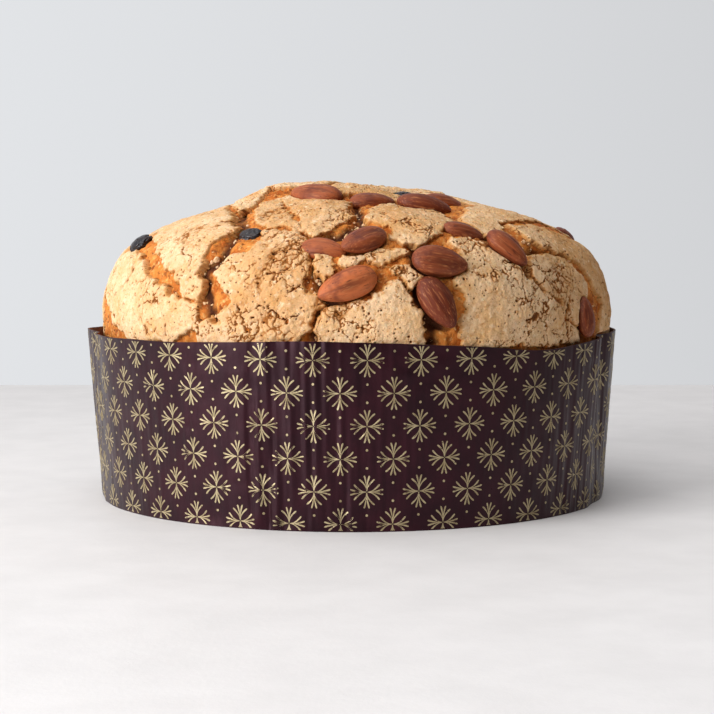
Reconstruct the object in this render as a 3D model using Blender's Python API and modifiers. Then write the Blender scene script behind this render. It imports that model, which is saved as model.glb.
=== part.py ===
"""A low round panettone, glazed and studded with whole almonds, in its paper baking case.

Metres, +Z up. The origin is the middle of the case's underside, and the front is towards -Y.
A place on the dome is a bearing, clockwise from the front as seen from above, and an elevation,
both in degrees and seen from a point inside the cake at the height of the case's rim.
"""

import math

import bmesh
import bpy
import numpy as np
from mathutils import Matrix, Vector

MM = 0.001

# Driving dimensions
BASE_RADIUS = 105 * MM
RIM_RADIUS = 109.3 * MM
WALL_HEIGHT = 68.9 * MM
PAPER = 0.8 * MM
GAP = 0.3 * MM
CAKE_SLACK = 0.7 * MM
DOME_CENTRE = Vector((1.5 * MM, 0, 66 * MM))
DOME_STEP = 10
DOME_RADII = tuple(r * MM for r in (106, 106.4, 103.3, 93.5, 82, 73.5, 69.3, 66.8, 65.3, 64.8))
ALMOND = Vector((22 * MM, 13.4 * MM, 9 * MM))
RAISIN = Vector((13 * MM, 10 * MM, 6.5 * MM))

# Where the paper wall leaves a true cone: bearing, half width in degrees, and how far out at the rim
CASE_BENDS = (
    (-91, 8, 2.4 * MM),
    (-78, 9, -2.4 * MM),
    (-64, 6, 0.6 * MM),
    (60, 7, 1.2 * MM),
    (70, 5.5, -3.4 * MM),
    (84, 9, 0.8 * MM),
    (128, 13, 1.2 * MM),
    (-150, 15, -1.3 * MM),
    (176, 8, -1.6 * MM),
)
BEND_AT_BASE = 0.2

# The lobes that the crumb rose into: bearing, elevation, spread and height
LOBES = (
    (-48, 9, 20 * MM, 2.0 * MM),
    (-20, 13, 22 * MM, 2.4 * MM),
    (6, 7, 17 * MM, 2.2 * MM),
    (34, 11, 26 * MM, 2.6 * MM),
    (70, 11, 20 * MM, 1.4 * MM),
    (14, 32, 18 * MM, 2.4 * MM),
    (-13, 42, 16 * MM, 2.6 * MM),
    (-44, 27, 16 * MM, 0.8 * MM),
    (-86, 34, 19 * MM, -3.8 * MM),
    (-62, 58, 20 * MM, 4.0 * MM),
    (-20, 72, 20 * MM, 0.8 * MM),
    (50, 62, 26 * MM, -2.2 * MM),
    (90, 82, 22 * MM, -3.6 * MM),
    (92, 33, 17 * MM, -2.4 * MM),
    (58, 30, 24 * MM, 1.4 * MM),
    (104, 14, 26 * MM, 1.6 * MM),
    (140, 10, 24 * MM, 2.2 * MM),
    (176, 14, 24 * MM, 2.0 * MM),
    (-146, 10, 26 * MM, 2.4 * MM),
    (-108, 12, 24 * MM, 1.8 * MM),
    (128, 36, 22 * MM, 2.0 * MM),
    (-168, 38, 22 * MM, 1.8 * MM),
)

# The splits between the glazed lobes, as runs of bearing and elevation
SPLITS = (
    ((-60, 47), (-47, 40), (-33, 29), (-32, 20), (-35, 17), (-33, 12), (-31, 5)),
    ((-1, 53), (1, 40), (2, 32), (-4, 27), (-13, 25)),
    ((-9, 22), (-8, 15), (-6, 11), (-8, 3)),
    ((15, 25), (15, 19), (13, 14), (15, 8), (16, 2)),
    ((40, 16), (43, 12), (47, 9)),
    ((45, 21), (55, 19), (59, 15), (62, 9)),
    ((-74, 14), (-60, 19), (-51, 16), (-38, 11)),
    ((34, 39), (36, 28), (45, 21)),
    ((88, 5), (90, 18), (98, 30), (112, 42)),
    ((122, 4), (120, 16), (127, 26), (146, 30)),
    ((160, 3), (158, 18), (150, 28), (156, 44)),
    ((-160, 3), (-165, 17), (-158, 27), (-176, 40)),
    ((-124, 4), (-128, 18), (-138, 28), (-130, 44)),
    ((-88, 5), (-92, 20), (-104, 30)),
)
SPLIT_HALF_WIDTH = 4.5 * MM
SPLIT_DEPTH = 3.4 * MM

# Bearing, elevation, turn of the pointed tip anticlockwise from level, tilt of the tip outwards, how far
# the middle stands out of the crust, and the size against the usual one
ALMONDS = (
    (1.9, 24.4, 214, 6, 0.9 * MM, 0.9),
    (-1.6, 13.9, 204, 4, 0.4 * MM, 1.05),
    (18.3, 18.7, -8, -4, 0.8 * MM, 1),
    (16.7, 10.3, -62, 6, 0.4 * MM, 1),
    (36.9, 21.8, -56, -8, 0.4 * MM, 0.88),
    (58.2, 6, 78, -12, -0.2 * MM, 0.76),
    (-25, 57.5, 172, 0, -1.0 * MM, 1.08),
    (9, 53, 8, 0, -1.6 * MM, 0.88),
    (30, 45.2, -24, -6, 0, 1),
    (53, 52, -20, -4, -0.8 * MM, 0.9),
    (29.8, 28.6, -14, -8, -1.8 * MM, 0.82),
    (-7.6, 23.2, -12, 4, -2.0 * MM, 0.84),
    (124, 28, 40, 0, -0.4 * MM, 1),
    (103, 24, 150, 4, -1.4 * MM, 0.95),
    (128, 12, 24, 0, 0.2 * MM, 1),
    (152, 33, 200, 0, 0.2 * MM, 1.04),
    (170, 9, -30, 5, 0.2 * MM, 0.92),
    (-166, 27, 70, -4, 0.2 * MM, 1),
    (-142, 12, 160, 0, 0, 1.05),
    (-132, 33, 20, 0, -0.4 * MM, 0.94),
    (168, 52, -60, 0, -0.4 * MM, 1),
)

# The same for the raisins
RAISINS = (
    (-70.5, 23, 30, 0, -0.8 * MM, 0.9),
    (-28.4, 27.9, 10, 0, -2.0 * MM, 0.78),
    (43, 63, -14, 4, -1.6 * MM, 0.8),
    (142, 22, 60, 0, -0.8 * MM, 1),
    (-118, 17, -40, 0, -1.0 * MM, 1),
)

# How finely each shape is divided
CASE_SEGMENTS = 72
CASE_RINGS = 3
CAKE_SEGMENTS = 180
CAKE_RINGS = 64
CAKE_DOME_RINGS = 48
CAKE_KEPT = 0.126
ALMOND_SEGMENTS = 10
ALMOND_RINGS = 7
RAISIN_SEGMENTS = 8
RAISIN_RINGS = 6


def clear_scene():
    for thing in list(bpy.data.objects):
        bpy.data.objects.remove(thing, do_unlink=True)


def collection(name):
    made = bpy.data.collections.new(name)
    bpy.context.scene.collection.children.link(made)
    return made


def material(name, colour, roughness):
    made = bpy.data.materials.new(name)
    made.use_nodes = True
    shader = made.node_tree.nodes["Principled BSDF"]
    shader.inputs["Base Color"].default_value = (*colour, 1)
    shader.inputs["Roughness"].default_value = roughness
    shader.inputs["Metallic"].default_value = 0
    return made


def add_object(name, mesh, home, finish=None):
    made = bpy.data.objects.new(name, mesh)
    home.objects.link(made)
    if finish:
        mesh.materials.append(finish)
        mesh.shade_smooth()
    return made


def sphere_mesh(name, segments, rings):
    """A unit sphere, with its poles on the Z axis."""
    body = bmesh.new()
    bmesh.ops.create_uvsphere(body, u_segments=segments, v_segments=rings, radius=1)
    mesh = bpy.data.meshes.new(name)
    body.to_mesh(mesh)
    body.free()
    return mesh


def mesh_points(mesh):
    flat = np.empty(len(mesh.vertices) * 3)
    mesh.vertices.foreach_get("co", flat)
    return flat.reshape(-1, 3)


def move_points(mesh, points):
    mesh.vertices.foreach_set("co", points.ravel())
    mesh.update()


def directions(bearings, elevations):
    """Unit vectors for bearings and elevations in radians."""
    level = np.cos(elevations)
    return np.stack([level * np.sin(bearings), -level * np.cos(bearings), np.sin(elevations)], axis=-1)


def wall_bend(bearings, share):
    """How far the paper leaves its cone, at a share of the wall's height."""
    out = np.zeros_like(bearings)
    for bearing, half_width, rise in CASE_BENDS:
        away = (np.degrees(bearings) - bearing + 180) % 360 - 180
        out += rise * np.exp(-((away / half_width) ** 2))
    return out * (BEND_AT_BASE + (1 - BEND_AT_BASE) * share)


def wall_radius(bearings, heights):
    """The case's outer radius."""
    share = np.clip(heights / WALL_HEIGHT, 0, 1)
    return BASE_RADIUS + (RIM_RADIUS - BASE_RADIUS) * share + wall_bend(bearings, share)


def dome_profile(elevations):
    """The risen dome's radius from its centre, on a smooth curve through its radii."""
    steps = np.degrees(elevations) / DOME_STEP
    whole = np.clip(np.floor(steps), 0, len(DOME_RADII) - 2).astype(int)
    part = np.clip(steps - whole, 0, 1)
    mirrored = np.array([DOME_RADII[1], *DOME_RADII, DOME_RADII[-2]])
    before, here, there, after = (mirrored[whole + i] for i in range(4))
    slope = (there - before) * part
    bend = (2 * before - 5 * here + 4 * there - after) * part**2
    twist = (3 * here - before - 3 * there + after) * part**3
    return 0.5 * (2 * here + slope + bend + twist)


def split_distance(aims, run):
    """How far directions from the dome's centre pass from a run of places, out at the crust."""
    ends = directions(*np.radians(np.array(run, float)).T)
    nearest = np.full(len(aims), np.inf)
    for start, end in zip(ends[:-1], ends[1:]):
        along = np.clip((aims - start) @ (end - start) / np.sum((end - start) ** 2), 0, 1)
        nearest = np.minimum(nearest, np.linalg.norm(aims - start - along[:, None] * (end - start), axis=1))
    return nearest * DOME_RADII[0]


def crust_radius(bearings, elevations, splits=True):
    """The crust's radius from the dome's centre, with its lobes and splits."""
    aims = directions(bearings, elevations)
    out = dome_profile(elevations)
    for bearing, elevation, spread, rise in LOBES:
        middle = directions(math.radians(bearing), math.radians(elevation))
        away = np.linalg.norm(aims - middle, axis=-1) * DOME_RADII[0]
        out = out + rise * np.exp(-((away / spread) ** 2))
    if splits:
        for run in SPLITS:
            away = split_distance(aims, run) / SPLIT_HALF_WIDTH
            out = out - SPLIT_DEPTH * np.exp(-(away**2))
    return out


def crust_point(bearing, elevation):
    reach = crust_radius(np.array([bearing]), np.array([elevation]), splits=False)[0]
    return DOME_CENTRE + Vector(directions(bearing, elevation)) * reach


def crust_place(bearing, elevation, turn, tilt, lift):
    """A place on the crust: X towards the topping's tip, and Z straight out of the crust."""
    step = math.radians(2)
    point = crust_point(bearing, elevation)
    side = (crust_point(bearing + step, elevation) - crust_point(bearing - step, elevation)).normalized()
    rise = (crust_point(bearing, elevation + step) - crust_point(bearing, elevation - step)).normalized()
    out = side.cross(rise).normalized()
    axes = Matrix((side, out.cross(side), out)).transposed()
    spin = Matrix.Rotation(turn, 3, "Z") @ Matrix.Rotation(-tilt, 3, "Y")
    return Matrix.Translation(point + out * lift) @ (axes @ spin).to_4x4()


def make_case(home):
    """The paper case: a thin cup whose wall leans out, with the buckles of a carton that was handled."""
    body = bmesh.new()
    bmesh.ops.create_cone(
        body,
        cap_ends=True,
        segments=CASE_SEGMENTS,
        radius1=BASE_RADIUS,
        radius2=RIM_RADIUS,
        depth=WALL_HEIGHT,
        matrix=Matrix.Translation((0, 0, WALL_HEIGHT / 2)),
    )
    top = max(body.faces, key=lambda face: face.calc_center_median().z)
    bmesh.ops.delete(body, geom=[top], context="FACES_ONLY")
    for ring in range(1, CASE_RINGS):
        bmesh.ops.bisect_plane(
            body,
            geom=body.verts[:] + body.edges[:] + body.faces[:],
            plane_co=(0, 0, WALL_HEIGHT * ring / CASE_RINGS),
            plane_no=(0, 0, 1),
        )
    mesh = bpy.data.meshes.new("paper_case")
    body.to_mesh(mesh)
    body.free()
    points = mesh_points(mesh)
    bearings = np.arctan2(points[:, 0], -points[:, 1])
    reach = wall_radius(bearings, points[:, 2])
    points[:, 0] = reach * np.sin(bearings)
    points[:, 1] = -reach * np.cos(bearings)
    move_points(mesh, points)
    case = add_object("paper_case", mesh, home, material("dark_paper", (0.021, 0.008, 0.009), 0.35))
    wall = case.modifiers.new("paper", "SOLIDIFY")
    wall.thickness = PAPER
    wall.offset = -1
    wall.use_even_offset = True
    return case


def cake_outline(ring, bearings):
    """A ring of the cake, counted down from the top of the dome."""
    floor = PAPER + GAP
    if ring <= CAKE_DOME_RINGS:
        elevations = np.full_like(bearings, math.pi / 2 * (1 - ring / CAKE_DOME_RINGS))
        points = directions(bearings, elevations) * crust_radius(bearings, elevations)[:, None]
        points += np.array(DOME_CENTRE)
    else:
        under = (ring - CAKE_DOME_RINGS) / (CAKE_RINGS - CAKE_DOME_RINGS)
        height = DOME_CENTRE.z + (floor - DOME_CENTRE.z) * min(1, under * 2)
        inward = 1 - max(0, under * 2 - 1)
        reach = wall_radius(bearings, np.full_like(bearings, height)) * inward
        level = directions(bearings, np.zeros_like(bearings))
        points = level * reach[:, None] + np.array((0, 0, height))
    held = points[:, 2] < WALL_HEIGHT + GAP + CAKE_SLACK
    around = np.arctan2(points[:, 0], -points[:, 1])
    most = wall_radius(around, points[:, 2]) - PAPER - CAKE_SLACK
    reach = np.hypot(points[:, 0], points[:, 1])
    shrink = np.where(held & (reach > most), most / np.maximum(reach, MM), 1)
    points[:, :2] *= shrink[:, None]
    return points


def make_cake(home, cutters):
    """The cake: one solid from the case's floor to its lobed, split dome."""
    mesh = sphere_mesh("cake", CAKE_SEGMENTS, CAKE_RINGS)
    points = mesh_points(mesh)
    rings = np.rint(np.arccos(np.clip(points[:, 2], -1, 1)) / math.pi * CAKE_RINGS).astype(int)
    bearings = np.arctan2(points[:, 0], -points[:, 1])
    for ring in range(CAKE_RINGS + 1):
        chosen = rings == ring
        points[chosen] = cake_outline(ring, bearings[chosen])
    move_points(mesh, points)
    cake = add_object("cake", mesh, home, material("baked_crust", (0.60, 0.36, 0.16), 0.8))
    fewer = cake.modifiers.new("fewer faces", "DECIMATE")
    fewer.ratio = CAKE_KEPT
    pockets = cake.modifiers.new("pockets", "BOOLEAN")
    pockets.operation = "DIFFERENCE"
    pockets.operand_type = "COLLECTION"
    pockets.collection = cutters
    pockets.solver = "EXACT"
    return cake


def almond_mesh(name, size):
    """An almond along X: broad and blunt at -X, pointed at +X, with its flat sides up and down."""
    mesh = sphere_mesh(name, ALMOND_SEGMENTS, ALMOND_RINGS)
    points = mesh_points(mesh)
    along = points[:, 2].copy()
    across = points[:, 0].copy()
    thick = points[:, 1].copy()
    slim = 1 - 0.15 * along - 0.12 * np.maximum(along, 0) ** 2
    points[:, 0] = along * size.x / 2
    points[:, 1] = across * slim * size.y / 2
    points[:, 2] = thick * (0.3 + 0.7 * slim) * size.z / 2
    move_points(mesh, points)
    return mesh


def raisin_mesh(name, size):
    """A shrivelled raisin: an egg with a few blunt folds."""
    mesh = sphere_mesh(name, RAISIN_SEGMENTS, RAISIN_RINGS)
    points = mesh_points(mesh)
    around = np.arctan2(points[:, 1], points[:, 0])
    points *= (1 + 0.1 * np.cos(3 * around) * (1 - points[:, 2] ** 2))[:, None]
    points = points[:, [2, 0, 1]] * np.array(size) / 2
    move_points(mesh, points)
    return mesh


def make_toppings(kind, places, shape, size, finish, home, cutters):
    """Toppings pressed into the crust, each with a pocket that leaves a gap round it."""
    for number, (bearing, elevation, turn, tilt, lift, share) in enumerate(places, 1):
        name = f"{kind}_{number:02d}"
        place = crust_place(*(math.radians(angle) for angle in (bearing, elevation, turn, tilt)), lift)
        topping = add_object(name, shape(name, size * share), home, finish)
        topping.matrix_world = place
        room = Vector((2 * GAP, 2 * GAP, 2 * GAP))
        pocket = add_object(f"pocket_of_{name}", shape(f"pocket_of_{name}", size * share + room), cutters)
        pocket.matrix_world = place
        pocket.hide_render = True
        pocket.display_type = "WIRE"


def main():
    clear_scene()
    parts = collection("panettone")
    cutters = collection("cutters")
    cutters.hide_render = True
    make_case(parts)
    make_cake(parts, cutters)
    skin = material("almond_skin", (0.19, 0.045, 0.022), 0.45)
    make_toppings("almond", ALMONDS, almond_mesh, ALMOND, skin, parts, cutters)
    dried = material("raisin_skin", (0.008, 0.007, 0.011), 0.3)
    make_toppings("raisin", RAISINS, raisin_mesh, RAISIN, dried, parts, cutters)


main()
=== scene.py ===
import itertools
import math

import bmesh
import bpy
import numpy as np
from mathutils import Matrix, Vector
from numpy.linalg import norm


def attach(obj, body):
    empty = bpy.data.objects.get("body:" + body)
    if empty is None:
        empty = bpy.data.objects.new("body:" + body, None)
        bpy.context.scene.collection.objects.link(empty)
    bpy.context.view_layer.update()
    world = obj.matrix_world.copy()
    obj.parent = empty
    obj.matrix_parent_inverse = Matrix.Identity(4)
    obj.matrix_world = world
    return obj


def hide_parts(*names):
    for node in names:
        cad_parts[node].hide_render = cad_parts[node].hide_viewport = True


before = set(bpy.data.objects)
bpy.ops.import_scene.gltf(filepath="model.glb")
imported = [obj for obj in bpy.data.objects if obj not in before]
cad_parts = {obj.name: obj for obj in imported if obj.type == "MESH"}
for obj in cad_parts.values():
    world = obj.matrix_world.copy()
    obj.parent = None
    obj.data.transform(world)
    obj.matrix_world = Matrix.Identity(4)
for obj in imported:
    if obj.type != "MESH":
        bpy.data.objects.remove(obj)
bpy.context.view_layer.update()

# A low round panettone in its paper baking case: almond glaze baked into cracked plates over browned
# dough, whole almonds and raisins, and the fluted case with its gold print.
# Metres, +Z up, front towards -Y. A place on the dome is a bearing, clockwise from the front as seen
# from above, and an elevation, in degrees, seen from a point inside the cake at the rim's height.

MM = 0.001

# The form, the same as the solids'. Tables give lengths in millimetres and angles in degrees.
BASE_RADIUS = 105 * MM
RIM_RADIUS = 109.3 * MM
WALL_HEIGHT = 68.9 * MM
PAPER = 0.7 * MM
PAPER_GAP = 0.4 * MM
DOME_CENTRE = np.array((1.5 * MM, 0, 66 * MM))
DOME_STEP = 10
DOME_RADII = tuple(r * MM for r in (106, 106.4, 103.3, 93.5, 82, 73.5, 69.3, 66.8, 65.3, 64.8))
REACH = DOME_RADII[0]
# Bends of the wall: bearing, half width and how far out at the rim
CASE_BENDS = (
    (-91, 8, 2.4), (-78, 9, -2.4), (-64, 6, 0.6), (60, 7, 1.2), (70, 5.5, -3.4), (84, 9, 0.8),
    (128, 13, 1.2), (-150, 15, -1.3), (176, 8, -1.6),
)
BEND_AT_BASE = 0.2
# Swellings and hollows of the dome: bearing, elevation, spread and rise
LOBES = (
    (-48, 9, 20, 2.0), (-20, 13, 22, 2.4), (6, 7, 17, 2.2), (34, 11, 26, 2.6), (70, 11, 20, 1.4),
    (14, 32, 18, 2.4), (-13, 42, 16, 2.6), (-44, 27, 16, 0.8), (-86, 34, 19, -3.8), (-62, 58, 20, 4.0),
    (-20, 72, 20, 0.8), (50, 62, 26, -2.2), (90, 82, 22, -3.6), (92, 33, 17, -2.4), (58, 30, 24, 1.4),
    (104, 14, 26, 1.6), (140, 10, 24, 2.2), (176, 14, 24, 2.0), (-146, 10, 26, 2.4), (-108, 12, 24, 1.8),
    (128, 36, 22, 2.0), (-168, 38, 22, 1.8),
)
# Splits in the crust, each a run of places
SPLITS = (
    ((-60, 47), (-47, 40), (-33, 29), (-32, 20), (-35, 17), (-33, 12), (-31, 5)),
    ((-1, 53), (1, 40), (2, 32), (-4, 27), (-13, 25)),
    ((-9, 22), (-8, 15), (-6, 11), (-8, 3)),
    ((15, 25), (15, 19), (13, 14), (15, 8), (16, 2)),
    ((40, 16), (43, 12), (47, 9)),
    ((45, 21), (55, 19), (59, 15), (62, 9)),
    ((-74, 14), (-60, 19), (-51, 16), (-38, 11)),
    ((34, 39), (36, 28), (45, 21)),
    ((88, 5), (90, 18), (98, 30), (112, 42)),
    ((122, 4), (120, 16), (127, 26), (146, 30)),
    ((160, 3), (158, 18), (150, 28), (156, 44)),
    ((-160, 3), (-165, 17), (-158, 27), (-176, 40)),
    ((-124, 4), (-128, 18), (-138, 28), (-130, 44)),
    ((-88, 5), (-92, 20), (-104, 30)),
)

SPLIT_DEPTHS = (1, 1, 1, 1, 0.8, 0.8, 0.4, 0.7, 1, 1, 1, 1, 1, 1)
SPLIT_DEPTH = 3.0 * MM
SPLIT_HALF_WIDTH = 3.6 * MM
CRUMBS_IN_A_SPLIT = 70
# Ripples of the dough, the glaze and the plates' edges: height, size and seed
DOUGH_RIPPLES = ((0.7, 6, 83), (0.5, 2.4, 84), (0.4, 1.2, 85))
GLAZE_RIPPLES = ((0.5, 9, 21), (0.34, 3.4, 22), (0.17, 1.5, 23), (0.1, 0.8, 24))
EDGE_RIPPLES = ((1.2, 5, 11), (1.2, 2.3, 12), (0.55, 1.0, 13))

# The glaze: it baked about 2 mm thick and broke into plates
GLAZE = 2.0 * MM
CRUMB = 3.1 * MM
FINE_CRUMB = 1.15 * MM
FLAKE = 8 * MM
LOWEST_GLAZE = math.radians(1)
# Outlines of the plates on the front, each a ring of places
PLATES = {
    "left": (
        (-67, 21), (-59, 18.5), (-53, 15.5), (-46, 13.5), (-43, 11.5), (-38, 10.5), (-34.5, 9.5), (-35, 6),
        (-37, 4), (-41, 1.5), (-56, 1), (-61, 3), (-66.5, 4), (-72, 8), (-80, 11), (-82, 18), (-75, 21),
    ),
    "upper_left": (
        (-56, 21.5), (-61, 23.7), (-66, 25.5), (-74, 30), (-82, 37), (-78, 46), (-62, 42), (-49, 38),
        (-38, 31.5), (-34, 30), (-33.5, 27.5), (-36, 24.5), (-37, 22), (-35.5, 19), (-36.5, 16),
        (-34.5, 14), (-34.5, 10.5), (-39, 11), (-43, 16), (-49.5, 18.5),
    ),
    "middle": (
        (-31, 20), (-28.5, 21), (-25.5, 21.5), (-24, 23.5), (-23, 25), (-24.5, 28.5), (-21, 29),
        (-15.6, 28), (-12.5, 26), (-10.7, 23.7), (-10.5, 20.5), (-10, 18.5), (-10.5, 15), (-9.5, 12.5),
        (-6.5, 10.5), (-9, 8.5), (-9, 5.5), (-12.5, 1.5), (-34, 1.5), (-35, 5), (-33.5, 6.5), (-29, 6),
        (-28, 8.5), (-26.5, 10.5), (-29, 14), (-31.5, 16),
    ),
    "crumbled_top": (
        (-37, 37.5), (-46, 46), (-44, 51.5), (-40, 51), (-29.5, 43), (-24.5, 39.5), (-18, 33.5),
        (-14, 29.3), (-16, 28.8), (-21, 30), (-25, 29.5), (-30, 31.6),
    ),
    "ridge": (
        (-48, 40), (-46, 43), (-53, 50), (-60, 57), (-58, 64), (-84, 64), (-98, 56), (-92, 46),
        (-78, 48.5), (-62, 44),
    ),
    "top_left": (
        (-42, 52), (-38, 58), (-23, 53), (-12, 50), (-2, 48), (-2.5, 41), (-0.5, 35.5), (-2, 32),
        (-5, 30.5), (-7.5, 28), (-10.5, 26), (-14, 28.5), (-17, 34), (-25, 41),
    ),
    "top_middle": (
        (5, 40), (11, 47), (20, 49), (25, 44), (31, 39.5), (29.5, 33), (25.5, 29.5), (21, 26),
        (16.5, 23.7), (11, 23.5), (9, 25.5), (9, 29), (6, 32), (2.5, 32),
    ),
    "low_middle": (
        (-8, 1.5), (-8, 6), (-6.5, 8.5), (-2.5, 10.2), (3, 11.2), (6, 13.5), (9, 15.8), (10.5, 13),
        (12, 10), (14, 8), (13.5, 4), (14.5, 1.5),
    ),
    "right": (
        (22, 24.5), (24.5, 26.3), (29, 26.3), (32.5, 24.5), (33, 22), (36, 19.3), (39.8, 15), (43, 12),
        (46.5, 10.3), (50, 8), (50.5, 5.5), (55, 4), (55.5, 1), (21.5, 1), (21.5, 4), (22.5, 9), (22, 13),
        (20.5, 15), (25, 17), (24, 21),
    ),
    "upper_right": (
        (44, 19.5), (50, 20.3), (56, 19), (60, 16), (62, 13), (59.5, 8), (56.5, 3.8), (51, 5.8),
        (49.5, 9.5), (46.3, 11), (43.3, 12.8), (40.5, 15.8), (41, 18),
    ),
    "far_right": (
        (47, 30.5), (56, 30), (66, 27), (76, 23), (84, 20), (86, 10), (85, 1), (66, 1), (68.5, 8),
        (65, 12), (62.5, 16), (57.5, 20), (50, 22.3), (47.5, 25),
    ),
    "top_right": (
        (33.5, 34), (42, 38), (50, 43), (62, 45), (78, 38), (72, 31), (58, 31.7), (46, 31.5), (42, 27),
        (36.5, 25.5), (34, 27),
    ),
    "crown_front": (
        (-28, 62), (-12, 58), (8, 57.5), (22, 52), (36, 50.5), (44, 54), (70, 50), (84, 58), (70, 70),
        (20, 74), (-20, 72),
    ),
    "chip_left": ((-9.5, 21.5), (-6, 22), (-4.7, 19.5), (-4.5, 16.5), (-6.5, 15.3), (-8.3, 16.5)),
    "chip_middle": ((-4, 20), (-2, 21.5), (1.8, 20.6), (0.5, 18.3), (-1, 17.3), (-3, 18.3)),
    "chip_over": (
        (2.5, 21.5), (7, 22.8), (12, 23), (12.5, 21.5), (9.5, 20), (8, 19.3), (7, 17.8), (5, 17.6),
        (3, 20.3),
    ),
    "chip_under": (
        (7, 17.3), (9, 19), (12.5, 18.7), (14, 17), (13.3, 15.5), (12, 13.5), (10.8, 13.5), (9.5, 15.8),
        (7.5, 16),
    ),
}
# Middles of the plates on the back and the crown, which share it out between them
BACK_PLATES = {
    "side_right": (105, 12),
    "back_right": (141, 11),
    "back_middle": (180, 12),
    "back_left": (-142, 12),
    "side_left": (-106, 11),
    "high_right": (98, 43),
    "high_back_right": (136, 45),
    "high_back_left": (-168, 44),
    "high_left": (-122, 39),
    "crown_right": (108, 70),
    "crown_left": (-98, 68),
    "crown": (-170, 72),
}
BACK_PLATE_REACH = 42 * MM
# Pores of two sizes: spacing, seed, share of the glaze that has them, and radius
PORES = ((3.0, 50, 0.55, 0.62), (1.9, 54, 0.45, 0.42))
PORE_DEPTH = 0.8 * MM
# Cracks in the plates: half width, depth, then places
CRACKS = (
    (0.8, 1.6, (-62, 18), (-60, 15.5), (-61.5, 13.5), (-63, 11.5)),
    (0.35, 0.8, (-51, 8.5), (-52, 6), (-50.5, 4)),
    (0.6, 1.2, (-42.5, 6), (-43, 2.5)),
    (0.3, 0.8, (-44.5, 4.5), (-48.5, 1.5)),
    (0.45, 1.2, (-47.5, 26), (-44, 21.5), (-39.5, 19.5), (-38.5, 17), (-41, 15.5)),
    (0.5, 1.2, (-46.5, 27.5), (-46.5, 32), (-44, 37)),
    (0.45, 1.2, (-20, 15.3), (-17, 16.5), (-14, 17.8)),
    (0.5, 1.3, (-20, 9), (-16.5, 10), (-14, 11.5), (-11, 14)),
    (0.45, 1.2, (-21, 7.3), (-17, 8.5), (-14.5, 7), (-11, 8)),
    (0.6, 1.4, (-25, 10), (-23, 7), (-22, 4.5)),
    (0.4, 1.0, (-13, 22.5), (-16, 21.5), (-19, 22.3)),
    (0.4, 1.0, (-30, 19), (-25, 18.6), (-22, 19.2)),
    (0.5, 1.3, (19.5, 40), (22, 37), (22, 33.5), (23.5, 30)),
    (0.3, 0.6, (12, 31), (17, 32), (21, 31)),
    (0.5, 1.3, (34, 18.7), (37, 18), (40, 15.8)),
    (0.7, 1.5, (45.5, 15), (48, 12), (49.2, 10)),
    (0.4, 1.0, (29.8, 21.5), (29.6, 20), (28, 18)),
    (0.35, 0.9, (55, 15), (57, 12), (58, 8)),
    (0.4, 1.0, (75, 24), (76, 16), (73, 8)),
    (0.5, 1.2, (92, 12), (104, 15), (112, 10)),
    (0.5, 1.2, (134, 22), (140, 12), (137, 2)),
    (0.4, 1.0, (168, 12), (178, 15), (188, 10)),
    (0.5, 1.2, (-150, 20), (-144, 10), (-146, 2)),
    (0.4, 1.0, (-114, 14), (-104, 10), (-98, 13)),
    (0.5, 1.2, (88, 38), (98, 45), (108, 46)),
    (0.5, 1.2, (-178, 40), (-166, 46), (-152, 46)),
    (0.4, 1.0, (-128, 42), (-118, 36), (-112, 32)),
)
# Single holes: bearing, elevation and radius
HOLE_DEPTH = 1.8 * MM
HOLES = (
    (-13.5, 6.5, 1.2), (-18.5, 9.5, 0.8), (34.5, 10, 0.9), (37.5, 6, 0.7), (33.8, 4, 0.55),
    (33.4, 2.6, 0.5), (46, 4, 0.5), (-5.7, 27.3, 1.6), (-46, 9.5, 0.6), (-52, 8, 0.5), (-40.5, 14.5, 0.6),
    (-57, 12, 0.6), (140, 6, 0.9), (172, 20, 0.8), (-140, 18, 0.9), (-100, 6, 0.7), (104, 6, 0.8),
)
# Where the glaze baked to coarse crumbs: bearing, elevation and radius
CRUMBLY = (
    (51, 14, 15), (-17, 5, 17), (-15, 23, 14), (28, 23, 10), (112, 20, 14), (-150, 6, 16), (150, 4, 15),
    (-112, 2, 12), (8, 20, 13), (64, 28, 14), (-30, 39, 18), (-72, 52, 16), (-48, 27, 10), (-130, 40, 14),
    (-4, 10, 8),
)
# Where the glaze baked browner: bearing, elevation and radius
BROWNED = (
    (-18, 15, 24), (-24, 41, 24), (15, 36, 22), (0, 60, 24), (64, 24, 24), (80, 9, 20), (118, 30, 28),
    (176, 22, 28), (-148, 8, 26), (-112, 38, 28),
)

# Toppings that the glaze laps over, and how far
BURIED = {
    "almond_08": 2.0,
    "almond_10": 2.5,
    "almond_11": 4.5,
    "almond_12": 5.0,
    "almond_14": 2.0,
    "raisin_02": 2.5,
}
FAR_OFF = 20 * MM
ALMOND_TAPER = 0.15
# Almonds that are toasted lighter or darker than most, from 0 to 1
TOAST = {"almond_01": 0.7, "almond_02": 0.15, "almond_03": 0.75, "almond_04": 0.95, "almond_05": 0.65}

# Where the case is fluted: bearing, half width, and how strong its broad and close flutes are
FLUTED = (
    (-10, 13, 0.9, 0.5), (-33, 8, 0.15, 0.15), (10, 5, 0.35, 0.3), (66, 21, 0.25, 0.85),
    (-88, 14, 0.3, 0.6), (-130, 20, 0.6, 0.3), (168, 22, 0.3, 0.7), (120, 14, 0.7, 0.2),
)
# Creases in the paper: bearing, half width and how far out at the rim
CREASES = (
    (-73.5, 2.6, 1.3), (-80, 3.5, -1.0), (63, 2.4, 1.5), (68.5, 2.6, -0.9), (75, 3, 0.9), (140, 3, 1.2),
    (-150, 3, -0.9),
)
# Where the rim was cut higher or lower: bearing, half width and rise
RIM_WAVES = (
    (-8, 26, 2.3), (44, 15, -2.9), (150, 30, 1.2), (-120, 25, -1.0),
)

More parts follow.
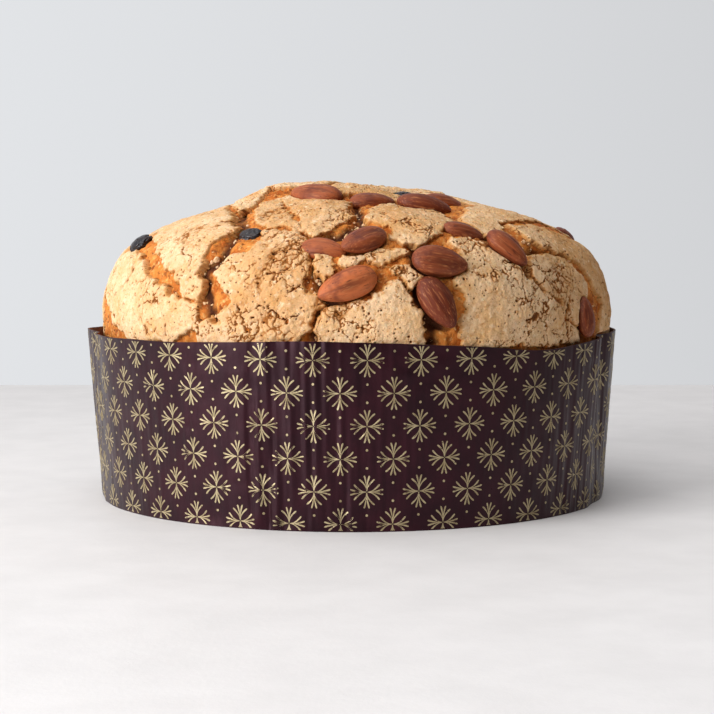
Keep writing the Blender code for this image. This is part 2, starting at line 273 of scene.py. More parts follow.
# The print: sprays on a staggered lattice
SPRAY_COLUMNS = 34
SPRAY_ROWS = 6
FIRST_ROW = 2.9 * MM
ROW_STEP = 12.3 * MM
TOP_ROW_BEARING = 3.1
PETAL_TIPS = ((6.0 * MM, 0.95 * MM), (4.7 * MM, 2.75 * MM))
PETAL_HALF_WIDTH = 0.38 * MM
DOT_RADIUS = 0.5 * MM
DOT_OFFSET = 3.4 * MM
INK_ABOVE = 0.09 * MM
INK_BELOW = 0.25 * MM
PRINT_MARGIN = 0.5 * MM

CAMERA_PLACE = (2.1 * MM, -834 * MM, 126.2 * MM)
CAMERA_DIP = 4.77

# How fine the meshes are

FRONT_GRID = 0.32 * MM
BACK_GRID = 0.5 * MM
DOUGH_GRID = 0.92 * MM
CASE_CORNERS = 1200
CASE_RINGS = 34


# Small tools

def linear(hex_colour):
    """An sRGB hex colour as linear red, green, blue and alpha."""
    parts = [int(hex_colour[i:i + 2], 16) / 255 for i in (1, 3, 5)]
    return (*(p / 12.92 if p <= 0.04045 else ((p + 0.055) / 1.055) ** 2.4 for p in parts), 1)


def scatter(places, seed):
    """A repeatable random number from 0 to 1 for each whole-numbered place."""
    mixed = places @ np.array([73856093, 19349663, 83492791]) + (seed + 1) * 2654435761
    mixed = ((mixed ^ (mixed >> 13)) * 1274126177) & 0x7FFFFFFF
    mixed = ((mixed ^ (mixed >> 15)) * 1103515245) & 0x7FFFFFFF
    return (mixed >> 4) / float(0x7FFFFFF)


def ripple(points, size, seed):
    """Smooth random relief from -1 to 1, with its hills about `size` apart."""
    grid = points / size
    cell = np.floor(grid).astype(np.int64)
    part = grid - cell
    part = part * part * (3 - 2 * part)
    out = np.zeros(len(points))
    for corner in itertools.product((0, 1), repeat=3):
        weight = np.prod(np.where(corner, part, 1 - part), axis=1)
        out += weight * scatter(cell + corner, seed)
    return 2 * out - 1


def relief(points, ripples):
    """Several ripples together: height and size in millimetres, and seed."""
    out = np.zeros(len(points))
    for height, size, seed in ripples:
        out += height * MM * ripple(points, size * MM, seed)
    return out


def wander(points, reach, size, seed):
    """Random steps up to `reach` each way, that change over `size`."""
    return np.column_stack([ripple(points, size, seed + k) for k in range(3)]) * reach


def grains(points, size, seed):
    """Distances to the nearest and next of random seeds `size` apart, in sizes, and the nearest's number."""
    grid = points / size
    cell = np.floor(grid).astype(np.int64)
    nearest = np.full(len(points), 9.0)
    following = nearest.copy()
    number = np.zeros(len(points))
    for step in itertools.product((-1, 0, 1), repeat=3):
        home = cell + step
        seeds = home + np.column_stack([scatter(home, seed + k) for k in range(3)])
        away = norm(grid - seeds, axis=1)
        closer = away < nearest
        following = np.where(closer, nearest, np.minimum(following, away))
        number = np.where(closer, scatter(home, seed + 3), number)
        nearest = np.where(closer, away, nearest)
    return nearest, following, number


def ramp(values, low, high):
    """0 below low, 1 above high and a smooth rise between."""
    share = np.clip((values - low) / (high - low), 0, 1)
    return share * share * (3 - 2 * share)


def fade(values, full, gone):
    """1 below full, 0 above gone and a smooth fall between."""
    return 1 - ramp(values, full, gone)


def bell(away, width, power=2):
    """1 at no distance, falling smoothly to nothing well past the width."""
    return np.exp(-((away / width) ** power))


def directions(bearings, elevations):
    """Unit vectors for bearings and elevations in degrees."""
    b, e = np.radians(bearings), np.radians(elevations)
    level = np.cos(e)
    return np.stack([level * np.sin(b), -level * np.cos(b), np.sin(e)], axis=-1)


def bearings_of(points):
    return np.degrees(np.arctan2(points[:, 0], -points[:, 1]))


def turned(bearings, towards):
    """How far bearings are turned from another, from -180 to 180 degrees."""
    return (bearings - towards + 180) % 360 - 180


def rises_round(bearings, table):
    """Smooth rises round the wall added up: bearing, half width and rise."""
    return sum(rise * MM * bell(turned(bearings, at), half_width) for at, half_width, rise in table)


def run_distance(aims, run):
    """How far aims pass from a run of places, out at the crust."""
    ends = directions(*np.array(run, float).T)
    nearest = np.full(len(aims), np.inf)
    for start, end in zip(ends[:-1], ends[1:]):
        along = np.clip((aims - start) @ (end - start) / np.sum((end - start) ** 2), 0, 1)
        away = norm(aims - start - along[:, None] * (end - start), axis=1)
        nearest = np.minimum(nearest, away)
    return nearest * REACH


def spot_distance(aims, bearing, elevation):
    return norm(aims - directions(bearing, elevation), axis=1) * REACH


def patches(aims, table):
    """Soft round patches added up: bearing, elevation and radius."""
    return sum(bell(spot_distance(aims, *place), radius * MM) for *place, radius in table)


# The forms that the solids share

def wall_radius(bearings, heights):
    """The case's outer radius at bearings in degrees."""
    share = np.clip(heights / WALL_HEIGHT, 0, 1)
    bend = rises_round(bearings, CASE_BENDS) * (BEND_AT_BASE + (1 - BEND_AT_BASE) * share)
    return BASE_RADIUS + (RIM_RADIUS - BASE_RADIUS) * share + bend


def dome_profile(elevations):
    """The dome's radius, as a smooth curve through DOME_RADII."""
    steps = np.clip(elevations, 0, 90) / DOME_STEP
    whole = np.clip(np.floor(steps), 0, len(DOME_RADII) - 2).astype(int)
    part = steps - whole
    mirrored = np.array([DOME_RADII[1], *DOME_RADII, DOME_RADII[-2]])
    before, here, there, after = (mirrored[whole + i] for i in range(4))
    slope = (there - before) * part
    bend = (2 * before - 5 * here + 4 * there - after) * part**2
    twist = (3 * here - before - 3 * there + after) * part**3
    return 0.5 * (2 * here + slope + bend + twist)


def crust_radius(aims):
    """The crust's radius from the dome's centre, with its lobes."""
    out = dome_profile(np.degrees(np.arcsin(np.clip(aims[:, 2], -1, 1))))
    for bearing, elevation, spread, rise in LOBES:
        out = out + rise * MM * bell(spot_distance(aims, bearing, elevation), spread * MM)
    return out


def crust_points(aims, radii):
    """Points of the cake, held inside the paper where they are below its rim."""
    points = DOME_CENTRE + aims * radii[:, None]
    most = wall_radius(bearings_of(points), points[:, 2]) - PAPER - PAPER_GAP
    reach = np.hypot(points[:, 0], points[:, 1])
    held = fade(points[:, 2], WALL_HEIGHT + 0.2 * MM, WALL_HEIGHT + 1.6 * MM)
    squeeze = np.minimum(1, most / np.maximum(reach, MM))
    points[:, :2] *= (1 + (squeeze - 1) * held)[:, None]
    return points


# Making objects

def deselect():
    if bpy.context.mode != "OBJECT":
        bpy.ops.object.mode_set(mode="OBJECT")
    bpy.ops.object.select_all(action="DESELECT")


def placed(name, data):
    made = bpy.data.objects.new(name, data)
    bpy.context.scene.collection.objects.link(made)
    return made


def object_of(name, mesh, finish):
    made = placed(name, mesh)
    mesh.materials.append(finish)
    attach(made, "root")
    return made


def mesh_of(name, points, faces):
    mesh = bpy.data.meshes.new(name)
    mesh.from_pydata(points.tolist(), [], faces.tolist())
    mesh.validate()
    mesh.shade_smooth()
    return mesh


def mesh_points(mesh):
    flat = np.empty(len(mesh.vertices) * 3)
    mesh.vertices.foreach_get("co", flat)
    return flat.reshape(-1, 3)


def move_points(mesh, points):
    mesh.vertices.foreach_set("co", np.ascontiguousarray(points).ravel())
    mesh.update()


def store(mesh, name, values):
    """Keeps a number for each point, for the finish to read."""
    kept = mesh.attributes.new(name, "FLOAT", "POINT")
    kept.data.foreach_set("value", np.ascontiguousarray(values, dtype=np.float32))


def close_and_turn(mesh):
    """Closes any open edge with a flat cap, and turns the faces outwards."""
    body = bmesh.new()
    body.from_mesh(mesh)
    bmesh.ops.holes_fill(body, edges=[e for e in body.edges if e.is_boundary], sides=0)
    bmesh.ops.recalc_face_normals(body, faces=body.faces)
    body.to_mesh(mesh)
    body.free()


def grid_mesh(name, wanted, points):
    """A mesh of a grid's points, with the faces whose four corners are wanted."""
    rows, columns = wanted.shape
    number = np.arange(rows * columns).reshape(rows, columns)
    corners = np.stack([number[:-1, :-1], number[:-1, 1:], number[1:, 1:], number[1:, :-1]], axis=-1)
    whole = wanted[:-1, :-1] & wanted[:-1, 1:] & wanted[1:, 1:] & wanted[1:, :-1]
    used, faces = np.unique(corners[whole], return_inverse=True)
    return mesh_of(name, points[used], faces.reshape(-1, 4)), used


# Toppings: where each solid lies

class Topping:
    """The frame of an almond or raisin: X along it towards its slim end, Z out of the crust."""

    def __init__(self, node):
        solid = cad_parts[node]
        points = mesh_points(solid.data) @ np.array(solid.matrix_world.to_3x3()).T
        points = np.unique(np.round(points, 6), axis=0)
        self.node = node
        self.middle = (points.min(axis=0) + points.max(axis=0)) / 2
        spread = points - points.mean(axis=0)
        out, across, along = np.linalg.eigh(spread.T @ spread)[1].T
        if out @ (self.middle - DOME_CENTRE) < 0:
            out = -out
        reach = spread @ along
        width = np.abs(spread @ across)
        if width[reach > 0].mean() > width[reach < 0].mean():
            along = -along
        across = np.cross(out, along)
        self.axes = np.stack([along, across, out])
        seen = (points - self.middle) @ self.axes.T
        self.middle = self.middle + ((seen.min(axis=0) + seen.max(axis=0)) / 2) @ self.axes
        self.size = seen.max(axis=0) - seen.min(axis=0)

    def clearance(self, points):
        """About how far points are outside the topping's outline, seen along its Z."""
        x, y, z = ((points - self.middle) @ self.axes.T).T
        length, width, _ = self.size / 2
        ring = np.hypot(x / length, y / (width * (1 - ALMOND_TAPER * x / length)))
        away = (ring - 1) * width * (1 + 0.35 * np.abs(x) / np.maximum(np.hypot(x, y), MM))
        return np.where(np.abs(z) < 12 * MM, away + BURIED.get(self.node, 0) * MM, FAR_OFF)


toppings = [Topping(node) for node in sorted(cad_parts) if node.startswith(("almond", "raisin"))]


def topping_clearance(points):
    nearest = np.full(len(points), FAR_OFF)
    for topping in toppings:
        close = norm(points - topping.middle, axis=1) < FAR_OFF + 2 * MM
        if close.any():
            nearest[close] = np.minimum(nearest[close], topping.clearance(points[close]))
    return nearest


# The glaze

def glaze_relief(aims):
    """The glaze's own height, and how far each point is down a crack, pore, hole or seam, a mask that the
    finish turns browner and, further down, near black-brown as painted shade, for points on whole plates.
    """
    at = aims * REACH
    height = relief(at, GLAZE_RIPPLES)
    stray = wander(at, 1.0 * MM, 2.2 * MM, 30) + wander(at, 0.55 * MM, 0.9 * MM, 33)
    moved = at + stray
    coarse = ramp(patches(aims, CRUMBLY) + 0.5 * ripple(at, 6 * MM, 25), 0.45, 1.1)
    # Crumbs: little domes of random height with sunken seams between them, darkened as painted shade
    near, far, number = grains(moved, CRUMB, 40)
    seam = fade((far - near) * CRUMB / 2, 0.06 * MM, 0.36 * MM) * coarse
    height += coarse * ((number - 0.6) * 0.6 * MM + (0.5 - near) * 0.2 * MM) - 0.45 * MM * seam
    near, far, _ = grains(moved, FINE_CRUMB, 41)
    crazing = fade(far - near, 0.04, 0.22) * coarse * ramp(ripple(at, 5 * MM, 42), 0, 0.5)
    height = np.maximum(height - 0.3 * MM * crazing, -1.0 * MM)
    pit_tone_and_shade = np.maximum(0.7 * seam, 0.4 * crazing)
    # Hairlines: a net that comes and goes, and the flakes between them tipped a little
    near, far, number = grains(at + 1.4 * stray, FLAKE, 44)
    hair = fade((far - near) * FLAKE / 2, 0.04 * MM, 0.28 * MM) * ramp(ripple(at, 10 * MM, 47), -0.1, 0.25)
    height += (number - 0.5) * 0.3 * MM - 0.5 * MM * hair
    pit_tone_and_shade = np.maximum(pit_tone_and_shade, 0.8 * hair)
    for size, seed, share, widest in PORES:
        near, _, number = grains(at, size * MM, seed)
        crowd = np.clip(share + 0.6 * ripple(at, 14 * MM, seed + 4), 0, 1)
        radius = widest * MM * (0.5 + 0.6 * number / np.maximum(crowd, 0.05))
        pore = fade(near * size * MM, 0.55 * radius, radius) * (number < crowd)
        height -= PORE_DEPTH * pore
        pit_tone_and_shade = np.maximum(pit_tone_and_shade, pore)
    for *place, radius in HOLES:
        away = norm(moved - directions(*place) * REACH, axis=1)
        hole = fade(away, 0.6 * radius * MM, radius * MM)
        height -= HOLE_DEPTH * hole
        pit_tone_and_shade = np.maximum(pit_tone_and_shade, hole)
    for half_width, depth, *run in CRACKS:
        width = half_width * MM * (1 + 0.5 * ripple(at, 3 * MM, 60))
        crack = fade(run_distance(moved / REACH, run), 0.35 * width, width)
        height -= depth * MM * crack
        pit_tone_and_shade = np.maximum(pit_tone_and_shade, crack)
    return height, pit_tone_and_shade


def outline_distance(spots, corners):
    """How far flat spots are inside an outline; outside it is below zero."""
    nearest = np.full(len(spots), np.inf)
    inside = np.zeros(len(spots), bool)
    for start, end in zip(corners, np.roll(corners, -1, axis=0)):
        side = end - start
        along = np.clip((spots - start) @ side / (side @ side), 0, 1)
        nearest = np.minimum(nearest, norm(spots - start - along[:, None] * side, axis=1))
        crosses = (start[1] > spots[:, 1]) != (end[1] > spots[:, 1])
        where = start[0] + side[0] * (spots[:, 1] - start[1]) / (side[1] if side[1] else 1e-12)
        inside ^= crosses & (spots[:, 0] < where)
    return np.where(inside, nearest, -nearest)


class TouchingPlane:
    """The plane that touches the dome's round at one place, on which a plate is drawn."""

    def __init__(self, middle):
        side = np.cross((0, 0, 1), middle)
        self.middle = middle
        self.side = side / norm(side)
        self.rise = np.cross(middle, self.side)

    def drawn(self, aims):
        """Where aims pass through the plane; those that point away from it land far off."""
        facing = np.maximum(aims @ self.middle, 0.05)
        return np.column_stack([aims @ self.side, aims @ self.rise]) / facing[:, None] * REACH

    def aims(self, spots):
        out = self.middle * REACH + spots[:, :1] * self.side + spots[:, 1:] * self.rise
        return out / norm(out, axis=1)[:, None]


def front_outlines():
    """Each front plate's plane and its corners on it."""
    outlines = {}
    for name, outline in PLATES.items():
        ends = directions(*np.array(outline, float).T)
        middle = ends.mean(axis=0)
        plane = TouchingPlane(middle / norm(middle))
        outlines[name] = (plane, plane.drawn(ends))
    return outlines


def back_share(aims, name, outlines):
    """How far aims are inside a back plate's share of the crust."""
    home = spot_distance(aims, *BACK_PLATES[name])
    inner = BACK_PLATE_REACH - home
    for other, place in BACK_PLATES.items():
        if other != name:
            inner = np.minimum(inner, (spot_distance(aims, *place) - home) / 2)
    for plane, corners in outlines.values():
        inner = np.minimum(inner, -outline_distance(plane.drawn(aims), corners) - 1.2 * MM)
    gap = 1.1 * MM + 0.8 * MM * ripple(aims * REACH, 16 * MM, 16)
    return np.minimum(inner - gap, (aims[:, 2] - math.sin(LOWEST_GLAZE)) * REACH)


def spots_between(low, high, spacing):
    """A grid of flat spots between two corners, and its rows and columns."""
    across = np.arange(low[0], high[0], spacing)
    up = np.arange(low[1], high[1], spacing)
    return np.stack(np.meshgrid(across, up), axis=-1).reshape(-1, 2), (len(up), len(across))


def make_plate(name, aims, inner, shape, finish):
    """One plate of glaze on a grid of aims, where `inner`, how far they are inside it, is above zero."""
    at = aims * REACH
    crust = crust_radius(aims)
    room = topping_clearance(DOME_CENTRE + aims * crust[:, None])
    inner = np.minimum(inner + relief(at, EDGE_RIPPLES), room - 0.1 * MM - 0.45 * MM * ripple(at, 3 * MM, 14))
    kept = inner > -1.2 * MM
    height, pit_tone_and_shade = np.zeros(len(at)), np.zeros(len(at))
    height[kept], pit_tone_and_shade[kept] = glaze_relief(aims[kept])
    wall = ramp(inner, -1.0 * MM, 0.1 * MM)
    shoulder = ramp(inner, -0.1 * MM, 1.2 * MM)
    height = height * (0.4 + 0.6 * shoulder) - 0.4 * MM * (1 - shoulder) - (GLAZE + 1.6 * MM) * (1 - wall)
    mesh, used = grid_mesh(name, kept.reshape(shape), crust_points(aims, crust + height))
    # Partly painted shade: cracks, pores, holes and seams, which the finish turns browner and then near
    # black-brown
    store(mesh, "pit_tone_and_shade", pit_tone_and_shade[used])
    store(mesh, "broken", fade(inner[used], -0.2 * MM, 0.9 * MM))
    store(mesh, "browned", 0.3 * ripple(at[used], 9 * MM, 18) + patches(aims[used], BROWNED))
    close_and_turn(mesh)
    plate = object_of(name, mesh, finish)


def make_glaze(finish):
    outlines = front_outlines()
    margin = 2.5 * MM
    for name, (plane, corners) in outlines.items():
        low, high = corners.min(axis=0) - margin, corners.max(axis=0) + margin
        spots, shape = spots_between(low, high, FRONT_GRID)
        make_plate(f"glaze_{name}", plane.aims(spots), outline_distance(spots, corners), shape, finish)
    reach = np.full(2, BACK_PLATE_REACH * 1.1)
    spots, shape = spots_between(-reach, reach, BACK_GRID)
    for name, place in BACK_PLATES.items():
        aims = TouchingPlane(directions(*place)).aims(spots)
        make_plate(f"glaze_{name}", aims, back_share(aims, name, outlines), shape, finish)


# The dough

def make_dough(finish):
    """The whole cake under its glaze: browned, torn dough in the splits, down to the case's floor."""
    steps = np.arange(-10, 91, 1.0)
    profile = directions(np.zeros_like(steps), steps) * dome_profile(steps)[:, None]
    legs = norm(np.diff(profile[::-1], axis=0), axis=1)
    lengths = np.concatenate([[0], np.cumsum(legs)])
    count = int(lengths[-1] / DOUGH_GRID) + 1
    line = np.arange(-count, count + 1) * DOUGH_GRID
    flat = np.stack(np.meshgrid(line, line), axis=-1).reshape(-1, 2)
    from_the_top = np.hypot(*flat.T)
    aims = directions(bearings_of(flat), np.interp(from_the_top, lengths, steps[::-1]))
    at = aims * REACH
    crust = crust_radius(aims)
    stray = wander(at, 1.5 * MM, 3.5 * MM, 80)
    split = np.zeros(len(at))
    for run, depth in zip(SPLITS, SPLIT_DEPTHS):
        away = run_distance((at + stray) / REACH, run)
        split = np.maximum(split, depth * bell(away, SPLIT_HALF_WIDTH))
    room = topping_clearance(DOME_CENTRE + aims * crust[:, None])
    pocket = fade(room, -0.2 * MM, 1.2 * MM)
    height = relief(at, DOUGH_RIPPLES) - 1.6 * MM
    height += 0.9 * MM * (0.45 - grains(at + stray, 4 * MM, 86)[0])
    height += 0.8 * MM * (0.5 - grains(at + 0.4 * stray, 1.9 * MM, 87)[0]) * (0.4 + split)
    height -= SPLIT_DEPTH * split + 1.0 * MM * pocket
    on_the_dome = (from_the_top <= lengths[-1]).reshape(len(line), len(line))
    mesh, used = grid_mesh("dough", on_the_dome, crust_points(aims, crust + height))
    # Painted shade: how deep each point lies in a split or in a hollow round a topping, for the finish to
    # darken
    store(mesh, "deep", np.clip(split + 0.7 * pocket, 0, 1)[used])
    # The sides go down inside the paper to the case's floor
    body = bmesh.new()
    body.from_mesh(mesh)
    rim = [e for e in body.edges if e.is_boundary]
    walls = bmesh.ops.extrude_edge_only(body, edges=rim)["geom"]
    for point in (v for v in walls if isinstance(v, bmesh.types.BMVert)):
        point.co.xy = point.co.xy.normalized() * (BASE_RADIUS - 3 * MM)
        point.co.z = 1.3 * MM
    body.to_mesh(mesh)
    body.free()
    close_and_turn(mesh)
    dough = object_of("dough", mesh, finish)
    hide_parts("cake")


# Almonds, raisins and crumbs

def sphere(name, across, along):
    """A round lump at the origin, with its poles on the Z axis."""
    deselect()
    bpy.ops.mesh.primitive_uv_sphere_add(segments=across, ring_count=along, radius=1)
    lump = bpy.context.object
    lump.name = name
    lump.data.name = name
    return lump


def finish_topping(lump, topping, points, finish):
    """Sets a shaped lump in its topping's place."""
    move_points(lump.data, points @ topping.axes + topping.middle)
    lump.data.shade_smooth()
    lump.data.materials.append(finish)
    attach(lump, "root")
    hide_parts(topping.node)


def make_almond(topping, finish, seed):
    """An almond: broad and blunt at one end, with the long grooves of its skin."""
    lump = sphere(f"{topping.node}_skin", 72, 56)
    ball = mesh_points(lump.data)[:, [2, 0, 1]]
    along = ball[:, 0]
    around = np.arctan2(ball[:, 2], ball[:, 1])
    slim = 1 - ALMOND_TAPER * along - 0.12 * np.maximum(along, 0) ** 2
    shape = ball * topping.size / 2
    shape[:, 1] *= slim / slim[np.abs(along) < 0.5].max()
    shape[:, 2] *= 0.3 + 0.7 * slim
    groove = 0
    # Broad grooves, then fine ones: depth, how fast they change along and round the almond, and first seed
    for depth, lengthwise, round_it, first in ((0.22, 0.8, 4.2, 100), (0.12, 2.0, 9, 130)):
        lane = np.column_stack([along * lengthwise, np.cos(around) * round_it, np.sin(around) * round_it])
        groove = groove + depth * MM * ripple(lane, 1.0, first + seed)
    open_ends = 1 - np.abs(along) ** 3
    lumpy = 0.35 * MM * ripple(ball, 0.9, 160 + seed)
    reach = norm(shape, axis=1)
    shape *= (1 + (groove * open_ends + lumpy) / np.maximum(reach, MM))[:, None]
    # Painted shade: each point's height across the grooves, which the finish darkens where it is low
    store(lump.data, "groove", 0.5 + groove / (0.6 * MM))
    grain = lump.data.attributes.new("grain", "FLOAT_VECTOR", "POINT")
    stretched = shape * (0.08, 1, 1) + seed * 40 * MM
    grain.data.foreach_set("vector", np.ascontiguousarray(stretched, dtype=np.float32).ravel())
    toast = TOAST.get(topping.node, 0.4 + 0.5 * (seed * 0.37 % 1))
    store(lump.data, "toast", np.full(len(shape), toast))
    finish_topping(lump, topping, shape, finish)


def make_raisin(topping, finish, seed):
    """A raisin: deep crooked folds between puffed ridges."""
    lump = sphere(f"{topping.node}_skin", 64, 48)
    ball = mesh_points(lump.data)[:, [2, 0, 1]]
    moved = ball + wander(ball, 0.25, 0.5, 200 + seed)
    fold = np.clip(1 - np.abs(ripple(moved, 0.42, 210 + seed)) * 2.6, 0, 1) ** 1.5
    shape = ball * topping.size / 2 * (1.02 - 0.17 * fold + 0.05 * ripple(ball, 0.8, 220 + seed))[:, None]
    store(lump.data, "fold", fold)
    finish_topping(lump, topping, shape, finish)


def make_crumbs(finish):
    """Loose crumbs of glaze lying in the splits and against the almonds."""
    ball = bmesh.new()
    bmesh.ops.create_icosphere(ball, subdivisions=2, radius=1)
    base = np.array([v.co for v in ball.verts])
    sides = np.array([[v.index for v in f.verts] for f in ball.faces])
    ball.free()
    draw = np.random.default_rng(7)
    points, faces = [], []
    for run in SPLITS:
        ends = directions(*np.array(run, float).T)
        for _ in range(CRUMBS_IN_A_SPLIT):
            leg = draw.integers(len(ends) - 1)
            aim = ends[leg] + (ends[leg + 1] - ends[leg]) * draw.random()
            aim = aim + draw.normal(0, 0.024, 3)
            aim = (aim / norm(aim))[None]
            size = (0.25 + 0.65 * draw.random() ** 2) * MM
            place = DOME_CENTRE + aim * crust_radius(aim)[:, None]
            depth = GLAZE + SPLIT_DEPTH * bell(run_distance(aim, run), SPLIT_HALF_WIDTH)
            lump = base * size * draw.uniform(0.6, 1.3, 3)
            lump *= (1 + 0.55 * ripple(base + draw.random(3) * 50, 0.9, 5))[:, None]
            if topping_clearance(place)[0] < size or place[0, 2] < WALL_HEIGHT + 2 * MM:
                continue
            faces.append(sides + len(points) * len(base))
            points.append(lump + place - aim * (depth - 0.5 * size))
    mesh = mesh_of("crumbs", np.concatenate(points), np.concatenate(faces))
    crumbs = object_of("crumbs", mesh, finish)


# The paper case

def flutes(bearings, heights):
    """The flutes and crumples that baking left in the paper, as distance outwards."""
    round_the_wall = np.radians(bearings) * RIM_RADIUS
    level = np.column_stack([round_the_wall, heights * 0.05, heights * 0])
    broad, close = 0.1, 0.12
    for bearing, half_width, share, closeness in FLUTED:
        zone = bell(turned(bearings, bearing), half_width, 4)
        broad = broad + share * zone
        close = close + closeness * zone
    out = 0.8 * MM * ripple(level, 1.9 * MM, 300) * broad + 0.2 * MM * ripple(level, 1.0 * MM, 301) * close
    out *= 0.6 + 0.4 * fade(heights, 28 * MM, 50 * MM)
    crumple = np.column_stack([round_the_wall * 0.3, heights, heights * 0])
    patch = np.column_stack([round_the_wall, heights, heights * 0])
    where = ramp(ripple(patch, 20 * MM, 303), 0, 0.5)
    front = bell(turned(bearings, -24), 14, 4) * ramp(heights, 25 * MM, 40 * MM)
    out += 0.16 * MM * ripple(crumple, 2.0 * MM, 302) * np.maximum(where, front)
    out += 0.25 * MM * ripple(patch, 30 * MM, 304)
    return out * ramp(heights, 0, 3 * MM)


def rim_height(bearings):
    return WALL_HEIGHT + rises_round(bearings, RIM_WAVES)


def wall_points(bearings, heights, lift=0.0):
    """Points of the paper's outside, or `lift` out from it."""
    crease = rises_round(bearings, CREASES) * (0.25 + 0.75 * np.clip(heights / WALL_HEIGHT, 0, 1))
    reach = wall_radius(bearings, heights) + flutes(bearings, heights) + lift + crease
    b = np.radians(bearings)
    return np.column_stack([reach * np.sin(b), -reach * np.cos(b), heights])


def make_case(outside, inside, edge):
    """The case: a disc whose edge is drawn up into a wall, given the paper's thickness."""
    deselect()
    bpy.ops.mesh.primitive_circle_add(vertices=CASE_CORNERS, radius=BASE_RADIUS, fill_type="NGON")
    case = bpy.context.object
    case.name = "printed_case"
    case.data.name = "printed_case"
    bpy.ops.object.mode_set(mode="EDIT")
    bpy.ops.mesh.select_all(action="SELECT")
    bpy.ops.mesh.inset(thickness=2 * MM)
    rise = (0, 0, WALL_HEIGHT / CASE_RINGS)
    for _ in range(CASE_RINGS):
        body = bmesh.from_edit_mesh(case.data)
        for part in (*body.faces, *body.edges, *body.verts):
            part.select_set(False)
        for rim_edge in body.edges:
            rim_edge.select_set(rim_edge.is_boundary)
        bmesh.update_edit_mesh(case.data)
        bpy.ops.mesh.extrude_edges_move(TRANSFORM_OT_translate={"value": rise})
    bpy.ops.mesh.select_all(action="SELECT")
    bpy.ops.mesh.normals_make_consistent(inside=False)
    bpy.ops.object.mode_set(mode="OBJECT")
    points = mesh_points(case.data)
    bearings = bearings_of(points)
    on_wall = np.hypot(points[:, 0], points[:, 1]) > BASE_RADIUS - 1 * MM
    uneven = ripple(points, 17 * MM, 310) * ramp(points[:, 2], 60 * MM, WALL_HEIGHT)
    heights = points[:, 2] + 0.2 * MM * uneven
    heights += rises_round(bearings, RIM_WAVES) * ramp(heights, 35 * MM, WALL_HEIGHT)
    points[on_wall] = wall_points(bearings[on_wall], heights[on_wall])
    move_points(case.data, points)
    if sum(face.normal.xy.dot(face.center.xy) for face in case.data.polygons) < 0:
        case.data.flip_normals()
    for finish in (outside, inside, edge):
        case.data.materials.append(finish)
    deselect()
    case.select_set(True)
    bpy.context.view_layer.objects.active = case
    paper = case.modifiers.new("paper", "SOLIDIFY")
    paper.thickness = PAPER
    paper.offset = -1
    paper.material_offset = 1
    paper.material_offset_rim = 2
    bpy.ops.object.modifier_apply(modifier="paper")
    case.data.shade_smooth()
    bpy.ops.object.shade_smooth_by_angle(angle=math.radians(50))
    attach(case, "root")
    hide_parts("paper_case")


def petal(along_tip, across_tip, turn, mirror):
    """A petal's outline: a curved stroke from the spray's heart that swells to a round tip."""
    steps = np.array((0.05, 0.35, 0.58, 0.76, 0.9, 1))
    across = across_tip * steps**2.2
    half = PETAL_HALF_WIDTH * (0.2 + 0.8 * steps**1.6)
    half[-1] *= 0.72
    spine = np.column_stack([along_tip * steps, across * mirror])
    lean = np.gradient(spine, axis=0)
    lean = lean / norm(lean, axis=1)[:, None]
    normal = np.column_stack([-lean[:, 1], lean[:, 0]])
    left = spine + normal * half[:, None]
    right = spine - normal * half[:, None]
    tip = spine[-1] + lean[-1] * half[-1] * 0.9
    outline = np.concatenate([right, tip[None], left[::-1]])
    c, s = math.cos(turn), math.sin(turn)
    return outline @ np.array([[c, s], [-s, c]])


def spray():
    """Sixteen petals in four clusters."""
    choices = itertools.product(range(4), PETAL_TIPS, (-1, 1))
    return [petal(*tip, quarter * math.pi / 2, mirror) for quarter, tip, mirror in choices]


def cut_level(shape, level, side):
    """The part of an outline above a level (side 1) or below it (side -1)."""
    kept = []
    for start, end in zip(shape, np.roll(shape, -1, axis=0)):
        if side * (start[1] - level) >= 0:
            kept.append(start)
        if (start[1] - level) * (end[1] - level) < 0:
            kept.append(start + (end - start) * (level - start[1]) / (end[1] - start[1]))
    return np.array(kept)


def make_print(finish):
    """The gold print: sprays and dots as a skin of ink that follows the flutes."""
    turns = np.radians(np.arange(0, 360, 45))
    dot = np.column_stack([np.cos(turns), np.sin(turns)]) * DOT_RADIUS
    dots = [dot + (0, DOT_OFFSET), dot - (0, DOT_OFFSET)]
    petals = spray()
    outlines = []
    for row in range(SPRAY_ROWS):
        height = FIRST_ROW + row * ROW_STEP
        stagger = 0 if (SPRAY_ROWS - 1 - row) % 2 == 0 else 0.5
        for column in range(SPRAY_COLUMNS):
            bearing = TOP_ROW_BEARING + (column + stagger) * 360 / SPRAY_COLUMNS
            between = bearing + 180 / SPRAY_COLUMNS
            outlines += [(bearing, height, shape) for shape in petals]
            outlines += [(between, height, shape) for shape in dots]
    bearings, heights, faces = [], [], []
    count = 0
    for bearing, height, shape in outlines:
        shape = cut_level(shape, rim_height(bearing) - PRINT_MARGIN - height, -1)
        shape = cut_level(shape, PRINT_MARGIN - height, 1) if len(shape) else shape
        if len(shape) < 3 or np.ptp(shape[:, 1]) < 0.3 * MM:
            continue
        bearings.append(turned(np.degrees(shape[:, 0] / (BASE_RADIUS + RIM_RADIUS) * 2), -bearing))
        heights.append(height + shape[:, 1])
        faces.append(np.arange(len(shape)) + count)
        count += len(shape)
    bearings, heights = np.concatenate(bearings), np.concatenate(heights)
    top = wall_points(bearings, heights, INK_ABOVE)
    bottom = wall_points(bearings, heights, -INK_BELOW)
    made = [face.tolist() for face in faces]
    made += [(face[::-1] + count).tolist() for face in faces]
    for face in faces:
        following = np.roll(face, -1)
        made += np.column_stack([face, face + count, following + count, following]).tolist()
    mesh = bpy.data.meshes.new("gold_print")
    mesh.from_pydata(np.concatenate([top, bottom]).tolist(), [], made)
    close_and_turn(mesh)
    ink = object_of("gold_print", mesh, finish)


# Finishes

